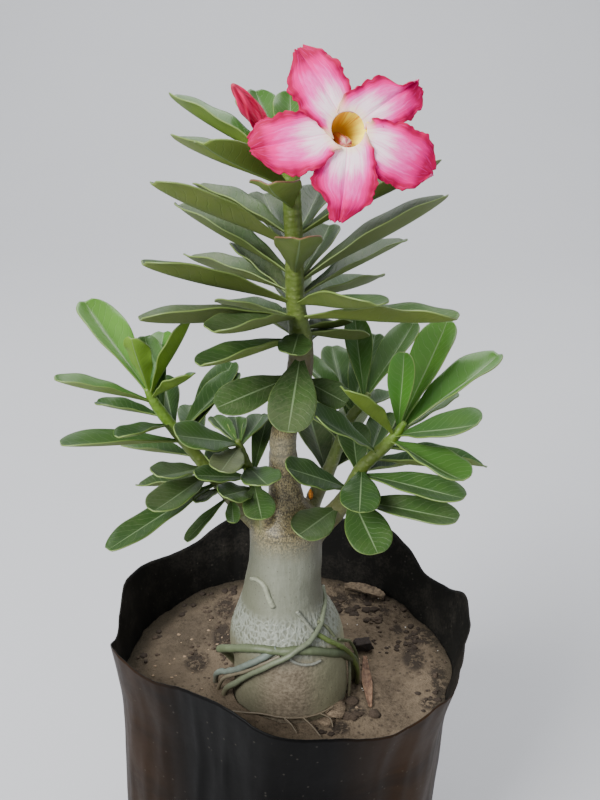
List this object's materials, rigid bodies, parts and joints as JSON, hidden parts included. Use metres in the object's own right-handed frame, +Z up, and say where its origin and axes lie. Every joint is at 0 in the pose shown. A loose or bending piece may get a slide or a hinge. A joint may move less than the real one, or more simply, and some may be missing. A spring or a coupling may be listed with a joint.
{
  "type": "potted desert rose plant",
  "caption": "Desert rose with a swollen grey caudex and wrapped aerial roots, branching leafy stems, an open pink five-lobed flower and a bud, planted in soil in a black nursery bag",
  "frame": {"origin": "on the bag's flat underside, below the middle of its rim", "axes": "+Z up along the plant, +X to the right seen from the front, -Y to the front"},
  "size_m": [0.1612, 0.149, 0.3779],
  "materials": {
    "film": "black polythene film, semi-gloss, creased and dusty",
    "soil": "tan sandy loam with a dry crust and dark crumbs, matt",
    "bark": "smooth grey-green succulent skin, browner bark on the trunk, satin",
    "leaf": "thick waxy green leaf, glossy above and matt below",
    "petal": "soft petal, near white inside with deep pink edges",
    "anther": "pale pink and cream, downy",
    "bud": "furled deep pink petals",
    "dry_leaf": "dry brown leaf, matt",
    "chip": "dark damp bark, matt"
  },
  "bodies": {
    "root": {"grow_bag": "film", "soil": "soil", "caudex_and_trunk": "bark", "main_leafy_stem": "leaf", "left_leafy_shoot": "leaf", "right_leafy_shoot": "leaf", "front_leafy_shoot": "leaf", "back_leafy_shoot": "leaf", "flower_corolla": "petal", "flower_anthers": "anther", "flower_bud": "bud", "dry_leaf_front": "dry_leaf", "dry_leaf_rear": "dry_leaf", "bark_chip": "chip"}
  },
  "joints": []
}
